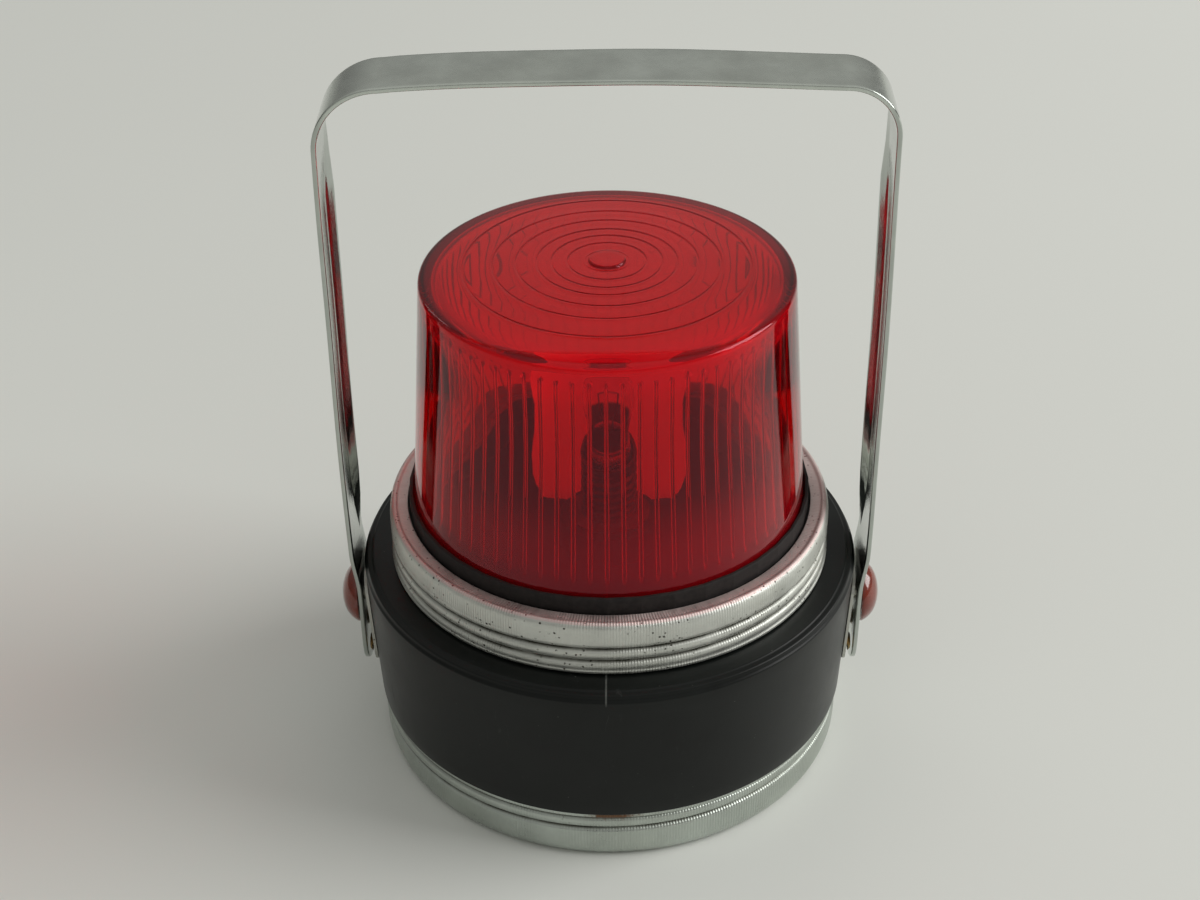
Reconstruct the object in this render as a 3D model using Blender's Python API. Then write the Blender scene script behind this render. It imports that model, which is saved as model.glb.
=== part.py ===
"""Portable red signal lantern: a drum housing with a screw-on base cap, a ribbed red lens under a
screwed clamp ring, a small screw-in bulb, a flat 4.5 V battery and a swinging flat-strip bail.

Lengths below are millimetres; the scene is in metres. +Z is up, the bail's axis runs along X, and
the origin is the centre of the resting face.
"""

import math

import bpy
import numpy as np

MM = 0.001
SEGMENTS = 40           # facets round the large turned pieces
PITCH = 2.9             # rolled thread of the clamp ring and of the base cap
THREAD_DEPTH = 0.9
THREAD_STEP = PITCH / 4
RING_THREAD_Z = 47.78   # where the threads start, which sets how they stand at the front
CAP_THREAD_Z = 7.28
FIT = 0.4               # radial clearance between a thread and its mate

BODY_TOP_R = 52.4       # drum, just under the shoulder
BODY_TOP_Z = 43.4
BODY_FOOT_R = 50.9      # drum, where it meets the base cap
BODY_FOOT_Z = 12.4
SHOULDER_Z = 45.2
BORE_R = 49.3           # battery space inside the drum
CAP_R = 50.3
CAP_WALL = 0.8
CAP_NECK_R = CAP_R - CAP_WALL - FIT
CAP_NECK_BORE_R = 46.4
RING_R = 46.2
RING_WALL = 0.8
RING_Z = 45.7
RING_TOP_Z = 57.5
RING_EYE_R = 42.3       # the hole that the lens stands through
NECK_R = RING_R - RING_WALL - FIT
NECK_TOP_Z = 53.7
NECK_BORE_R = 41.2
DECK_Z = 46.5
DECK_UNDER_Z = 43.8
BOSS_R = 10.4           # boss round the lamp socket
BOSS_TOP_Z = 53.0
SOCKET_HOLE_R = 6.3
INSULATOR_HOLE_R = 8.6  # pocket under the boss
LENS_FOOT_R = 40.9
LENS_TOP_R = 37.1
LENS_RIM_Z = 108.8
LENS_FOOT_BORE_R = 36.8  # inside of the lens at its foot
LENS_TOP_BORE_R = 32.4  # and under the crown
DOME_RISE = 2.4
NUB_Z = 112.8

PIVOT_Z = 30.5
STRIP_WIDTH = 14.0      # bail strip
STRIP = 1.0
LEG_X = 55.1            # outer face of the bail's legs, low down
LEG_TOP_X = 53.6        # and at the corners
LEG_PIVOT_X = 54.15     # outer face where the leg runs in to the pivot
BAIL_HEIGHT = 123.2     # from the pivot to the top of the crossbar
BAIL_ARCH = 1.3
CORNER_LEFT_R = 13.0    # the strip is bent by hand, so its corners differ a little
CORNER_RIGHT_R = 10.5
TAIL = 17.2             # from the pivot down to the rounded end
BAIL_LEAN = 2.3         # degrees forward: pivot friction holds the bail where it was left
BRACKET = 0.6
BRACKET_GAP = 0.25      # between the plate and the drum
PIVOT_HOLE_R = 2.3
RIVET_Y = 4.6
RIVET_Z = 20.0
RIVET_HOLE_R = 1.45
REFLECTOR = 0.5
REFLECTOR_BOW = 48.0    # the sheet's edges stand x squared over this forward of its middle

BATTERY = (67.0, 62.0, 22.0)
BATTERY_Z = 2.6


def clear_scene():
    for obj in list(bpy.data.objects):
        bpy.data.objects.remove(obj)


def material(name, colour, roughness, metallic=0.0):
    made = bpy.data.materials.new(name)
    made.use_nodes = True
    made.diffuse_color = (*colour, 1.0)
    shader = made.node_tree.nodes["Principled BSDF"]
    shader.inputs["Base Color"].default_value = (*colour, 1.0)
    shader.inputs["Roughness"].default_value = roughness
    shader.inputs["Metallic"].default_value = metallic
    return made


def add_mesh(name, points, faces, look=None, at=(0.0, 0.0, 0.0)):
    """An object at a place, from points round that place in millimetres, its faces turned outwards."""
    points = np.asarray(points, float)
    volume = 0.0
    for face in faces:
        for b, c in zip(face[1:], face[2:]):
            volume += np.dot(points[face[0]], np.cross(points[b], points[c]))
    if volume < 0:
        faces = [tuple(reversed(face)) for face in faces]
    mesh = bpy.data.meshes.new(name)
    mesh.from_pydata([tuple(p * MM) for p in points], [], faces)
    mesh.shade_smooth()
    mesh.set_sharp_from_angle(angle=math.radians(32))
    obj = bpy.data.objects.new(name, mesh)
    obj.location = [MM * place for place in at]
    bpy.context.scene.collection.objects.link(obj)
    if look:
        mesh.materials.append(look)
    return obj


def groove(angle, z, start, low, high):
    """How deep the right-handed rolled thread is here; it fades out below low and above high."""
    phase = ((z - start) / PITCH - angle / (2 * math.pi)) % 1.0
    bump = max(0.0, math.cos(math.pi * (phase - 0.5) / 0.9)) ** 2
    fade = min(1.0, max(0.0, (z - low) / 0.6)) * min(1.0, max(0.0, (high - z) / 0.6))
    return THREAD_DEPTH * bump * fade


def ring_thread(angle, z):
    return groove(angle, z, RING_THREAD_Z, 46.3, 53.3)


def neck_thread(angle, z):
    return groove(angle, z, RING_THREAD_Z, 45.7, 99.0)


def cap_thread(angle, z):
    return groove(angle, z, CAP_THREAD_Z, 7.0, 11.4)


def cap_neck_thread(angle, z):
    return groove(angle, z, CAP_THREAD_Z, -9.0, 12.0)


def turned(name, rows, look, segments=SEGMENTS, axis="Z", centre=(0.0, 0.0, 0.0), side=1):
    """A solid of revolution from (radius, height) rows, each with an optional thread function.
    A row of radius 0 closes on the axis; without one at both ends the rows form a loop."""
    points, starts = [], []
    for row in rows:
        radius, height = row[0], row[1]
        thread = row[2] if len(row) > 2 else None
        starts.append(len(points))
        if radius == 0:
            points.append((0.0, 0.0, height))
            continue
        for i in range(segments):
            angle = 2 * math.pi * i / segments
            r = radius - (thread(angle, height) if thread else 0.0)
            points.append((r * math.cos(angle), r * math.sin(angle), height))
    faces = []
    looped = rows[0][0] != 0
    pairs = list(zip(range(len(rows) - 1), range(1, len(rows))))
    if looped:
        pairs.append((len(rows) - 1, 0))
    for a, b in pairs:
        for i in range(segments):
            j = (i + 1) % segments
            if rows[a][0] == 0:
                faces.append((starts[a], starts[b] + i, starts[b] + j))
            elif rows[b][0] == 0:
                faces.append((starts[a] + i, starts[b], starts[a] + j))
            else:
                faces.append((starts[a] + i, starts[b] + i, starts[b] + j, starts[a] + j))
    points = np.array(points)
    if axis == "X":
        points = np.stack([side * points[:, 2], points[:, 0], points[:, 1]], axis=1)
    return add_mesh(name, points, faces, look, centre)


def climb(low, high, radius, thread):
    """Rows up a threaded wall."""
    count = max(1, round((high - low) / THREAD_STEP))
    return [(radius, low + (high - low) * i / count, thread) for i in range(count + 1)]


def prism(name, outline, low, high, look=None):
    """A vertical prism over an (x, y) outline."""
    count = len(outline)
    points = [(x, y, z) for z in (low, high) for x, y in outline]
    faces = [tuple(range(count)), tuple(range(2 * count - 1, count - 1, -1))]
    for i in range(count):
        j = (i + 1) % count
        faces.append((j, i, i + count, j + count))
    return add_mesh(name, points, faces, look)


def ribbon(name, path, width, thick, look, at=(0.0, 0.0, 0.0), widths=None):
    """A flat strip whose outer face follows an (x, z) path, its width lying along Y."""
    path = np.array(path, float)
    steps = np.gradient(path, axis=0)
    steps /= np.linalg.norm(steps, axis=1)[:, None]
    inward = np.stack([steps[:, 1], -steps[:, 0]], axis=1) * thick
    points = []
    for i, ((x, z), (dx, dz)) in enumerate(zip(path, inward)):
        half = (widths[i] if widths else width) / 2
        points += [(x, -half, z), (x, half, z)]
        points += [(x + dx, half, z + dz), (x + dx, -half, z + dz)]
    faces = [(3, 2, 1, 0)]
    last = 4 * (len(path) - 1)
    faces.append((last, last + 1, last + 2, last + 3))
    for i in range(len(path) - 1):
        for k in range(4):
            m = (k + 1) % 4
            faces.append((4 * i + k, 4 * i + m, 4 * i + 4 + m, 4 * i + 4 + k))
    return add_mesh(name, points, faces, look, at)


def add_sheet(name, points, wide, look):
    """A bent sheet from two grids of points, its two faces, each with this many points to a row."""
    count = len(points) // 2
    tall = count // wide
    faces = []
    for i in range(tall - 1):
        for j in range(wide - 1):
            a = i * wide + j
            faces.append((a, a + wide, a + wide + 1, a + 1))
            faces.append((a + count, a + count + 1, a + count + wide + 1, a + count + wide))
    for j in range(wide - 1):
        faces.append((j, j + 1, j + 1 + count, j + count))
        a = count - wide + j
        faces.append((a + 1, a, a + count, a + 1 + count))
    for i in range(tall - 1):
        a = i * wide
        faces.append((a + wide, a, a + count, a + wide + count))
        b = a + wide - 1
        faces.append((b, b + wide, b + wide + count, b + count))
    return add_mesh(name, points, faces, look)


def cut(target, cutter):
    cutter.hide_render = True
    cutter.display_type = "WIRE"
    modifier = target.modifiers.new("cut " + cutter.name, "BOOLEAN")
    modifier.operation = "DIFFERENCE"
    modifier.solver = "EXACT"
    modifier.object = cutter


def drill(target, name, radius, x0, x1, y, z, segments=16):
    """A hole along X."""
    rows = [(0, x0), (radius, x0), (radius, x1), (0, x1)]
    cut(target, turned(name, rows, None, segments, "X", (0.0, y, z)))


def body_radius(z):
    share = (z - BODY_FOOT_Z) / (BODY_TOP_Z - BODY_FOOT_Z)
    return BODY_FOOT_R + share * (BODY_TOP_R - BODY_FOOT_R)


def build_housing(looks):
    rows = climb(3.0, BODY_FOOT_Z, CAP_NECK_R, cap_neck_thread)
    rows += [(BODY_FOOT_R, BODY_FOOT_Z), (BODY_TOP_R, BODY_TOP_Z)]
    rows += [(51.9, 44.5), (51.1, 44.95), (50.6, 45.0), (50.4, SHOULDER_Z)]
    rows += climb(SHOULDER_Z, NECK_TOP_Z, NECK_R, neck_thread)
    rows += [(NECK_BORE_R, NECK_TOP_Z), (NECK_BORE_R, DECK_Z), (BOSS_R + 0.3, DECK_Z)]
    rows += [(BOSS_R, BOSS_TOP_Z - 0.5), (BOSS_R - 0.5, BOSS_TOP_Z), (SOCKET_HOLE_R, BOSS_TOP_Z)]
    rows += [(SOCKET_HOLE_R, 46.2), (INSULATOR_HOLE_R, 45.8), (INSULATOR_HOLE_R, DECK_UNDER_Z)]
    rows += [(46.0, DECK_UNDER_Z), (BORE_R, 41.0), (BORE_R, 16.0)]
    rows += [(CAP_NECK_BORE_R, 13.0), (CAP_NECK_BORE_R, 3.0)]
    housing = turned("housing", rows, looks["black"])
    for side, word in ((-1, "left"), (1, "right")):
        drill(housing, f"pivot_hole_{word}", PIVOT_HOLE_R, side * 45, side * 55, 0, PIVOT_Z)
        for y, end in ((-RIVET_Y, "front"), (RIVET_Y, "rear")):
            name = f"rivet_hole_{word}_{end}"
            drill(housing, name, RIVET_HOLE_R, side * 45, side * 55, y, RIVET_Z, 12)
    return housing


def build_reflector(looks):
    """A white sheet standing behind the bulb, bowed round it, on a foot bent back along the deck."""
    # (y, z) of the sheet's middle line, its half width there, and the share of the full bow
    stations = [(18.6, 46.95, 4.0, 0.0), (17.6, 46.95, 5.2, 0.0), (13.2, 46.95, 5.2, 0.0)]
    stations += [(12.0, 47.3, 5.4, 0.0), (11.6, 48.4, 8.5, 0.3), (11.6, 50.0, 12.6, 0.8)]
    stations += [(11.6, 53.0, 14.6, 1.0), (11.6, 57.5, 16.3, 1.0), (11.6, 66.0, 16.6, 1.0)]
    stations += [(11.6, 80.0, 16.6, 1.0), (11.6, 83.2, 15.6, 1.0), (11.6, 84.6, 13.4, 1.0)]
    columns = [-1.0, -0.75, -0.5, -0.25, 0.0, 0.25, 0.5, 0.75, 1.0]
    line = np.array([station[:2] for station in stations])
    along = np.gradient(line, axis=0)
    along /= np.linalg.norm(along, axis=1)[:, None]
    points = []
    for offset in (-REFLECTOR / 2, REFLECTOR / 2):
        for (y, z, half, bow), (dy, dz) in zip(stations, along):
            for share in columns:
                x = share * half
                forward = bow * x * x / REFLECTOR_BOW
                points.append((x, y - offset * dz - forward, z + offset * dy))
    add_sheet("rear_reflector", points, len(columns), looks["white"])


def build_clamp_ring(looks):
    rows = [(RING_R + 0.1, RING_Z)] + climb(46.3, 53.4, RING_R, ring_thread)
    rows += [(RING_R, 56.0), (RING_R - 0.35, 56.95), (45.2, RING_TOP_Z), (RING_EYE_R, RING_TOP_Z)]
    inner = RING_R - RING_WALL
    rows += [(RING_EYE_R, 56.5), (44.9, 56.5), (inner, 55.9)]
    rows += list(reversed(climb(46.3, 53.4, inner, ring_thread))) + [(inner + 0.1, RING_Z)]
    turned("lens_clamp_ring", rows, looks["zinc"])


def build_lens(looks):
    foot, top = LENS_FOOT_R, LENS_TOP_R
    rows = [(44.4, 55.0), (44.4, 56.1), (foot + 0.05, 56.1), (foot, RING_TOP_Z), (top, 108.0)]
    rows += [(top - 0.3, LENS_RIM_Z), (top - 1.2, LENS_RIM_Z + 0.4)]
    for share in (0.86, 0.6, 0.3):
        rise = DOME_RISE * math.sqrt(1 - share * share)
        rows.append((top * share, LENS_RIM_Z + 0.4 + rise * 0.9))
    crown = LENS_RIM_Z + 0.4 + DOME_RISE * 0.9
    rows += [(3.7, crown + 0.1), (3.2, NUB_Z - 0.3), (0, NUB_Z)]
    rows += [(0, crown - 2.2), (top * 0.3, crown - 2.3), (top * 0.6, crown - 2.8)]
    rows += [(top * 0.80, crown - 3.6), (LENS_TOP_BORE_R, 105.6)]
    rows += [(LENS_FOOT_BORE_R, 58.5), (LENS_FOOT_BORE_R, 55.0)]
    body = rows[rows.index((0, NUB_Z)) + 1:] + rows[: rows.index((0, NUB_Z)) + 1]
    turned("signal_lens", body, looks["red"])
    # a channel round the foot's flange, whose lip stands up through the ring's eye
    gasket = [(41.6, 54.0), (44.78, 54.0), (44.78, 56.38), (41.85, 56.38), (41.85, 60.2), (41.7, 60.45)]
    gasket += [(41.2, 60.45), (41.05, 60.2), (41.05, 56.17), (44.48, 56.17), (44.48, 54.85), (41.6, 54.85)]
    turned("lens_gasket", gasket, looks["rubber"])


def build_bulb(looks):
    """A small screw-base bulb in its threaded brass shell, over a sprung centre contact."""
    shell = [(5.5, 45.6), (5.5, 53.2), (8.6, 53.2), (8.6, 53.8), (5.55, 53.8), (5.75, 56.0), (5.55, 58.0)]
    shell += [(5.75, 60.0), (5.55, 62.0), (5.75, 64.0), (5.9, 65.6), (5.9, 66.4), (5.2, 66.4)]
    shell += [(5.05, 64.0), (5.05, 45.6)]
    turned("socket_shell", shell, looks["brass"], 16)
    insulator = [(2.0, 41.6), (14.0, 41.6), (14.0, 43.4), (8.2, 43.4), (8.2, 45.2), (2.0, 45.2)]
    turned("socket_insulator", insulator, looks["fibre"], 20)
    contact = [(0, 40.6), (1.5, 40.6), (1.5, 55.6), (2.4, 55.6), (2.4, 56.6), (0, 56.9)]
    turned("centre_contact", contact, looks["brass"], 12)
    base = [(0, 57.3), (1.4, 57.4), (2.4, 58.6), (4.3, 59.0)]
    base += [(4.7, 59.9), (4.35, 60.8), (4.7, 61.7), (4.35, 62.6), (4.7, 63.5), (4.35, 64.4)]
    base += [(4.7, 65.3), (4.5, 66.6), (4.5, 68.4), (0, 68.4)]
    turned("bulb_base", base, looks["nickel"], 16)
    glass = [(3.6, 68.7), (4.3, 68.7), (4.4, 70.2), (5.4, 74.4), (5.6, 79.0), (4.7, 83.2)]
    glass += [(2.5, 85.9), (0, 86.8), (0, 86.2), (2.2, 85.2), (4.2, 82.8), (5.05, 79.0)]
    glass += [(4.85, 74.4), (3.9, 70.8), (3.6, 70.2)]
    start = glass.index((0, 86.2))
    turned("bulb_glass", glass[start:] + glass[:start], looks["glass"], 16)
    build_filament(looks)


def build_filament(looks):
    """A glass bead on a stem, two lead wires and the filament bridging them, as one piece."""
    outer = [(-2.2, 79.6), (-2.0, 74.0), (-1.0, 71.8), (-1.0, 68.8), (1.0, 68.8), (1.0, 71.8)]
    outer += [(2.0, 74.0), (2.2, 79.6), (1.1, 80.5), (0, 79.9), (-1.1, 80.5)]
    inner = [(-1.7, 79.2), (-1.55, 74.2), (-0.5, 72.9), (0.5, 72.9), (1.55, 74.2), (1.7, 79.2)]
    inner += [(1.1, 80.0), (0, 79.4), (-1.1, 80.0)]
    frame = prism("bulb_filament", outer, -0.3, 0.3, looks["tungsten"])
    window = prism("filament_window", inner, -1, 1)
    for obj in (frame, window):
        for vertex in obj.data.vertices:
            x, z, y = vertex.co
            vertex.co = (x, -y, z)
    cut(frame, window)


def build_contacts(looks):
    """Brass leaves under the deck, which the battery's two strips press on."""
    leaf = [(1.9, 40.2), (16.0, 40.2), (24.0, 34.0), (27.0, 30.0), (30.0, 29.6)]
    ribbon("contact_leaf_centre", [(x - 3.4, z) for x, z in leaf], 8.0, 0.4, looks["brass"])
    leaf = [(-30.0, 29.6), (-27.0, 30.0), (-24.0, 36.0), (-18.0, 41.3), (-14.6, 42.9)]
    ribbon("contact_leaf_shell", leaf, 8.0, 0.4, looks["brass"])


def build_battery(looks):
    x, y, z = (side / 2 for side in BATTERY)
    low, high = BATTERY_Z, BATTERY_Z + BATTERY[2]
    corner = 2.5
    outline = []
    for sx, sy, start in ((1, 1, 0), (-1, 1, 90), (-1, -1, 180), (1, -1, 270)):
        for k in range(4):
            a = math.radians(start + 30 * k)
            cx, cy = sx * (x - corner), sy * (y - corner)
            outline.append((cx + corner * math.cos(a), cy + corner * math.sin(a)))
    prism("battery_case", outline, low, high, looks["paper"])
    short = [(31.5, high + 0.3), (24.0, high + 0.35), (21.5, high + 1.0), (22.5, 28.3), (26.0, 28.9)]
    ribbon("battery_strip_short", list(reversed(short)), 7.0, 0.3, looks["brass"])
    long = [(-26.5, 28.9), (-20.0, 28.2), (-14.0, 27.2), (-16.0, high + 0.9), (-31.0, high + 0.65)]
    ribbon("battery_strip_long", list(reversed(long)), 7.0, 0.3, looks["brass"])
    for side, word in ((-1, "left"), (1, "right")):
        arc = [math.radians(a) for a in np.linspace(-37, 37, 9)]
        outline = [(side * 45.9 * math.cos(a), 45.9 * math.sin(a)) for a in arc]
        outline += [(side * (x + 0.5), 27.6), (side * (x + 0.5), -27.6)]
        prism(f"battery_spacer_{word}", outline, BATTERY_Z, 15.0, looks["foam"])


def build_base_cap(looks):
    inner = CAP_R - CAP_WALL
    rows = [(0, 0), (35.5, 0), (36.5, 0.6), (38.5, 0.6), (39.5, 0), (47.6, 0), (49.4, 0.55)]
    rows += [(CAP_R, 2.2)] + climb(7.0, 11.4, CAP_R, cap_thread)
    rows += [(50.5, 11.6), (50.4, 12.1), (inner + 0.15, 12.1)]
    rows += list(reversed(climb(7.0, 11.4, inner, cap_thread)))
    rows += [(inner, 2.6), (48.9, 1.35), (47.4, 0.85), (39.9, 0.85), (38.9, 1.4), (36.1, 1.4)]
    rows += [(35.1, 0.85), (0, 0.85)]
    turned("base_cap", rows, looks["zinc"])
    liner = [(0, 1.6), (46.0, 1.6), (46.0, 2.3), (0, 2.3)]
    turned("cap_liner", liner, looks["fibre"], 32)


def leg_and_corner(radius):
    """Half of the outer face's (x, z) line, from the tail up to the crossbar, z from the pivot."""
    low = -TAIL
    line = [(LEG_PIVOT_X, low + d) for d in (0.0, 0.5, 1.9, 4.2, STRIP_WIDTH / 2)]
    line += [(LEG_PIVOT_X, 5.5), (LEG_PIVOT_X + 0.2, 7.5), (LEG_X - 0.15, 13.0), (LEG_X, 16.0)]
    top = BAIL_HEIGHT - BAIL_ARCH
    bend_x, bend_z = LEG_TOP_X - radius, top - radius
    for share in (0.45, 0.75, 1.0):
        z = 16.0 + share * (bend_z - 16.0)
        line.append((LEG_X - (LEG_X - LEG_TOP_X) * share ** 1.6, z))
    for k in range(1, 9):
        a = math.radians(90 * k / 8)
        line.append((bend_x + radius * math.cos(a), bend_z + radius * math.sin(a)))
    return line


def bail_path():
    """The outer face's line from the left tail over the crossbar to the right tail."""
    left = [(-x, z) for x, z in leg_and_corner(CORNER_LEFT_R)]
    right = leg_and_corner(CORNER_RIGHT_R)
    crossbar = []
    for x in (-27.0, -13.5, 0.0, 13.5, 27.0):
        sag = BAIL_ARCH * (x / 42.0) ** 2
        crossbar.append((x, BAIL_HEIGHT - sag))
    return left + crossbar + list(reversed(right))


def build_bail(looks):
    path = bail_path()
    half = STRIP_WIDTH / 2
    widths = []
    for _, z in path:
        drop = max(0.0, half - TAIL - z)
        widths.append(max(3.0, 2 * math.sqrt(max(0.0, half * half - drop * drop))))
    pivot = (0.0, 0.0, PIVOT_Z)
    lean = math.radians(BAIL_LEAN)
    bail = ribbon("bail_handle", path, STRIP_WIDTH, STRIP, looks["zinc"], pivot, widths)
    bail.rotation_euler.x = lean
    for side, word in ((-1, "left"), (1, "right")):
        drill(bail, f"bail_eye_{word}", 2.4, side * 50, side * 60, 0, PIVOT_Z)
        dome = [(6.6, 0.0), (6.8, 0.5), (6.2, 1.7), (4.6, 3.0), (2.4, 3.75), (0, 4.0)]
        dome += [(0, 2.6), (3.2, 2.4), (4.2, 1.6), (4.2, 0.0)]
        start = dome.index((0, 2.6))
        rows = [(r, h + LEG_PIVOT_X + 0.3) for r, h in dome[start:] + dome[:start]]
        cap = turned(f"pivot_dome_{word}", rows, looks["orange"], 16, "X", pivot, side)
        cap.rotation_euler.x = lean


def bracket_plate(name, side, look):
    """A plate that hugs the drum's taper, its lower end rounded."""
    rows = [(15.0, 3.4), (15.7, 5.4), (17.4, 7.2), (19.6, 8.0), (28.0, 8.0), (35.4, 8.0), (37.0, 7.2),
            (37.7, 5.6)]
    columns = [-1.0, -0.6, -0.2, 0.2, 0.6, 1.0]
    points = []
    for depth in (BRACKET_GAP, BRACKET_GAP + BRACKET):
        for z, half in rows:
            radius = body_radius(z) + depth
            for share in columns:
                y = share * half
                points.append((side * math.sqrt(radius * radius - y * y), y, z))
    return add_sheet(name, points, len(columns), look)


def build_pivots(looks):
    for side, word in ((-1, "left"), (1, "right")):
        plate = bracket_plate(f"hinge_bracket_{word}", side, looks["zinc"])
        drill(plate, f"bracket_eye_{word}", PIVOT_HOLE_R, side * 50, side * 55, 0, PIVOT_Z)
        outer = body_radius(RIVET_Z) + BRACKET_GAP + BRACKET
        for y, end in ((-RIVET_Y, "front"), (RIVET_Y, "rear")):
            name = f"bracket_hole_{word}_{end}"
            drill(plate, name, RIVET_HOLE_R, side * 50, side * 55, y, RIVET_Z, 12)
            rows = [(0, 48.0), (1.9, 48.0), (1.9, 48.7), (1.05, 48.7), (1.05, outer + 0.05)]
            rows += [(2.2, outer + 0.05), (1.7, outer + 0.5), (0, outer + 0.6)]
            turned(f"bracket_rivet_{word}_{end}", rows, looks["brass"], 12, "X", (0, y, RIVET_Z), side)
        screw = [(0, 46.9), (1.9, 46.9), (1.9, LEG_PIVOT_X + 0.25), (3.5, LEG_PIVOT_X + 0.25)]
        screw += [(3.4, LEG_PIVOT_X + 1.2), (2.6, LEG_PIVOT_X + 1.7), (0, LEG_PIVOT_X + 1.8)]
        turned(f"pivot_screw_{word}", screw, looks["nickel"], 12, "X", (0, 0, PIVOT_Z), side)
        washer = [(PIVOT_HOLE_R, 48.2), (4.4, 48.2), (4.4, 48.8), (PIVOT_HOLE_R, 48.8)]
        turned(f"pivot_washer_{word}", washer, looks["nickel"], 12, "X", (0, 0, PIVOT_Z), side)
        nut = [(PIVOT_HOLE_R, 47.1), (3.6, 47.1), (3.9, 47.3), (3.9, 47.9), (PIVOT_HOLE_R, 47.9)]
        turned(f"pivot_nut_{word}", nut, looks["nickel"], 6, "X", (0, 0, PIVOT_Z), side)


def main():
    clear_scene()
    looks = {
        "black": material("black_plastic", (0.020, 0.022, 0.022), 0.45),
        "zinc": material("zinc_plate", (0.62, 0.63, 0.60), 0.33, 1.0),
        "white": material("white_enamel", (0.75, 0.75, 0.72), 0.35),
        "red": material("red_plastic", (0.55, 0.01, 0.02), 0.08),
        "orange": material("orange_plastic", (0.65, 0.08, 0.01), 0.12),
        "rubber": material("rubber", (0.03, 0.03, 0.03), 0.8),
        "brass": material("brass", (0.72, 0.53, 0.23), 0.3, 1.0),
        "nickel": material("nickel", (0.68, 0.66, 0.60), 0.25, 1.0),
        "glass": material("glass", (0.92, 0.94, 0.93), 0.03),
        "tungsten": material("tungsten", (0.35, 0.34, 0.33), 0.4, 1.0),
        "fibre": material("fibre_board", (0.28, 0.12, 0.06), 0.75),
        "foam": material("foam", (0.12, 0.12, 0.13), 0.95),
        "paper": material("battery_card", (0.10, 0.16, 0.30), 0.6),
    }
    build_housing(looks)
    build_reflector(looks)
    build_clamp_ring(looks)
    build_lens(looks)
    build_bulb(looks)
    build_contacts(looks)
    build_battery(looks)
    build_base_cap(looks)
    build_bail(looks)
    build_pivots(looks)


main()
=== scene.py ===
"""A portable red signal lantern on a pale table in soft daylight, seen from the front and a little above.

Lengths in this script are millimetres unless a name ends in _m; meshes are stored in metres.
"""

import math

import bpy
import numpy as np
from mathutils import Matrix, Vector


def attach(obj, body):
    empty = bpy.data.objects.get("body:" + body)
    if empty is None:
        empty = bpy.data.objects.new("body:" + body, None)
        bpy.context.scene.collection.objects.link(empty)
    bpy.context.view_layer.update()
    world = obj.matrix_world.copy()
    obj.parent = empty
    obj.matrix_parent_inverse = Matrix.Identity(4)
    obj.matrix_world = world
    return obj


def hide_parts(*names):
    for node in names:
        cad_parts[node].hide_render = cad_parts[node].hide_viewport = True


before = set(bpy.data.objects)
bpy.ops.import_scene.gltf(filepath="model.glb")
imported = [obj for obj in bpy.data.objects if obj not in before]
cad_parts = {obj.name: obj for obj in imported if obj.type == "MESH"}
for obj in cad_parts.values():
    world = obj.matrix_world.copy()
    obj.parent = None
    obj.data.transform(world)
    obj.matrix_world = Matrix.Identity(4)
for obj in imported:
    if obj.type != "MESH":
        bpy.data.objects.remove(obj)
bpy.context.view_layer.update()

MM = 0.001
TURN = 2 * math.pi
SHARP_ANGLE = math.radians(38)

PITCH = 2.9  # rolled thread of the clamp ring and of the base cap
RING_THREAD_Z = 47.78
CAP_THREAD_Z = 7.28
SHEET = 0.8  # wall of the pressed ring and cap
FIT = 0.4

BODY_TOP_R, BODY_TOP_Z = 52.4, 43.4
BODY_FOOT_R, BODY_FOOT_Z = 50.9, 12.4
SHOULDER_Z = 45.2
NECK_TOP_Z = 53.7
NECK_BORE_R = 41.2
FOOT_BORE_R = 46.4
DECK_Z = 46.5
BOSS_R, BOSS_BORE_R, BOSS_TOP_Z = 10.4, 6.3, 53.0
CAP_R = 50.3
RING_R = 46.2
RING_EYE_R = 42.25

LENS_FOOT_R, LENS_TOP_R = 40.9, 37.1
LENS_FOOT_BORE_R, LENS_TOP_BORE_R = 36.8, 32.4
LENS_FLANGE_R, LENS_FLANGE_Z, LENS_FOOT_Z = 44.4, 56.1, 55.0
CROWN_Z = 111.36
UNDER_CROWN_Z = 108.75
RIB_COUNT = 72
RIB_HEIGHT = 0.36
RIB_HALF_WIDTH = math.radians(0.68)
CROWN_RINGS = (28.2, 22.3, 17.8, 13.7, 10.8, 7.6)
RING_GROOVE = 0.26  # half the width of each ring's groove

PIVOT_Z = 30.5
STRIP_WIDTH, STRIP = 14.0, 1.0
BAIL_LEAN = math.radians(2.3)
BAIL_RISE, BAIL_SAG = 123.2, 1.3  # the crossbar above the pivot, and how far its ends drop
TAIL = 17.2  # how far the legs reach below the pivot
DOME_X = 54.45

LAMP_THREAD_PITCH = 1.81


# ---------------------------------------------------------------- mesh tools


def spaced(count):
    """Evenly spaced angles all round."""
    return np.linspace(0, TURN, count, endpoint=False)


def ease(value, start, end):
    """Rises smoothly from 0 at start to 1 at end."""
    share = np.clip((value - start) / (end - start), 0, 1)
    return share * share * (3 - 2 * share)


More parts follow.
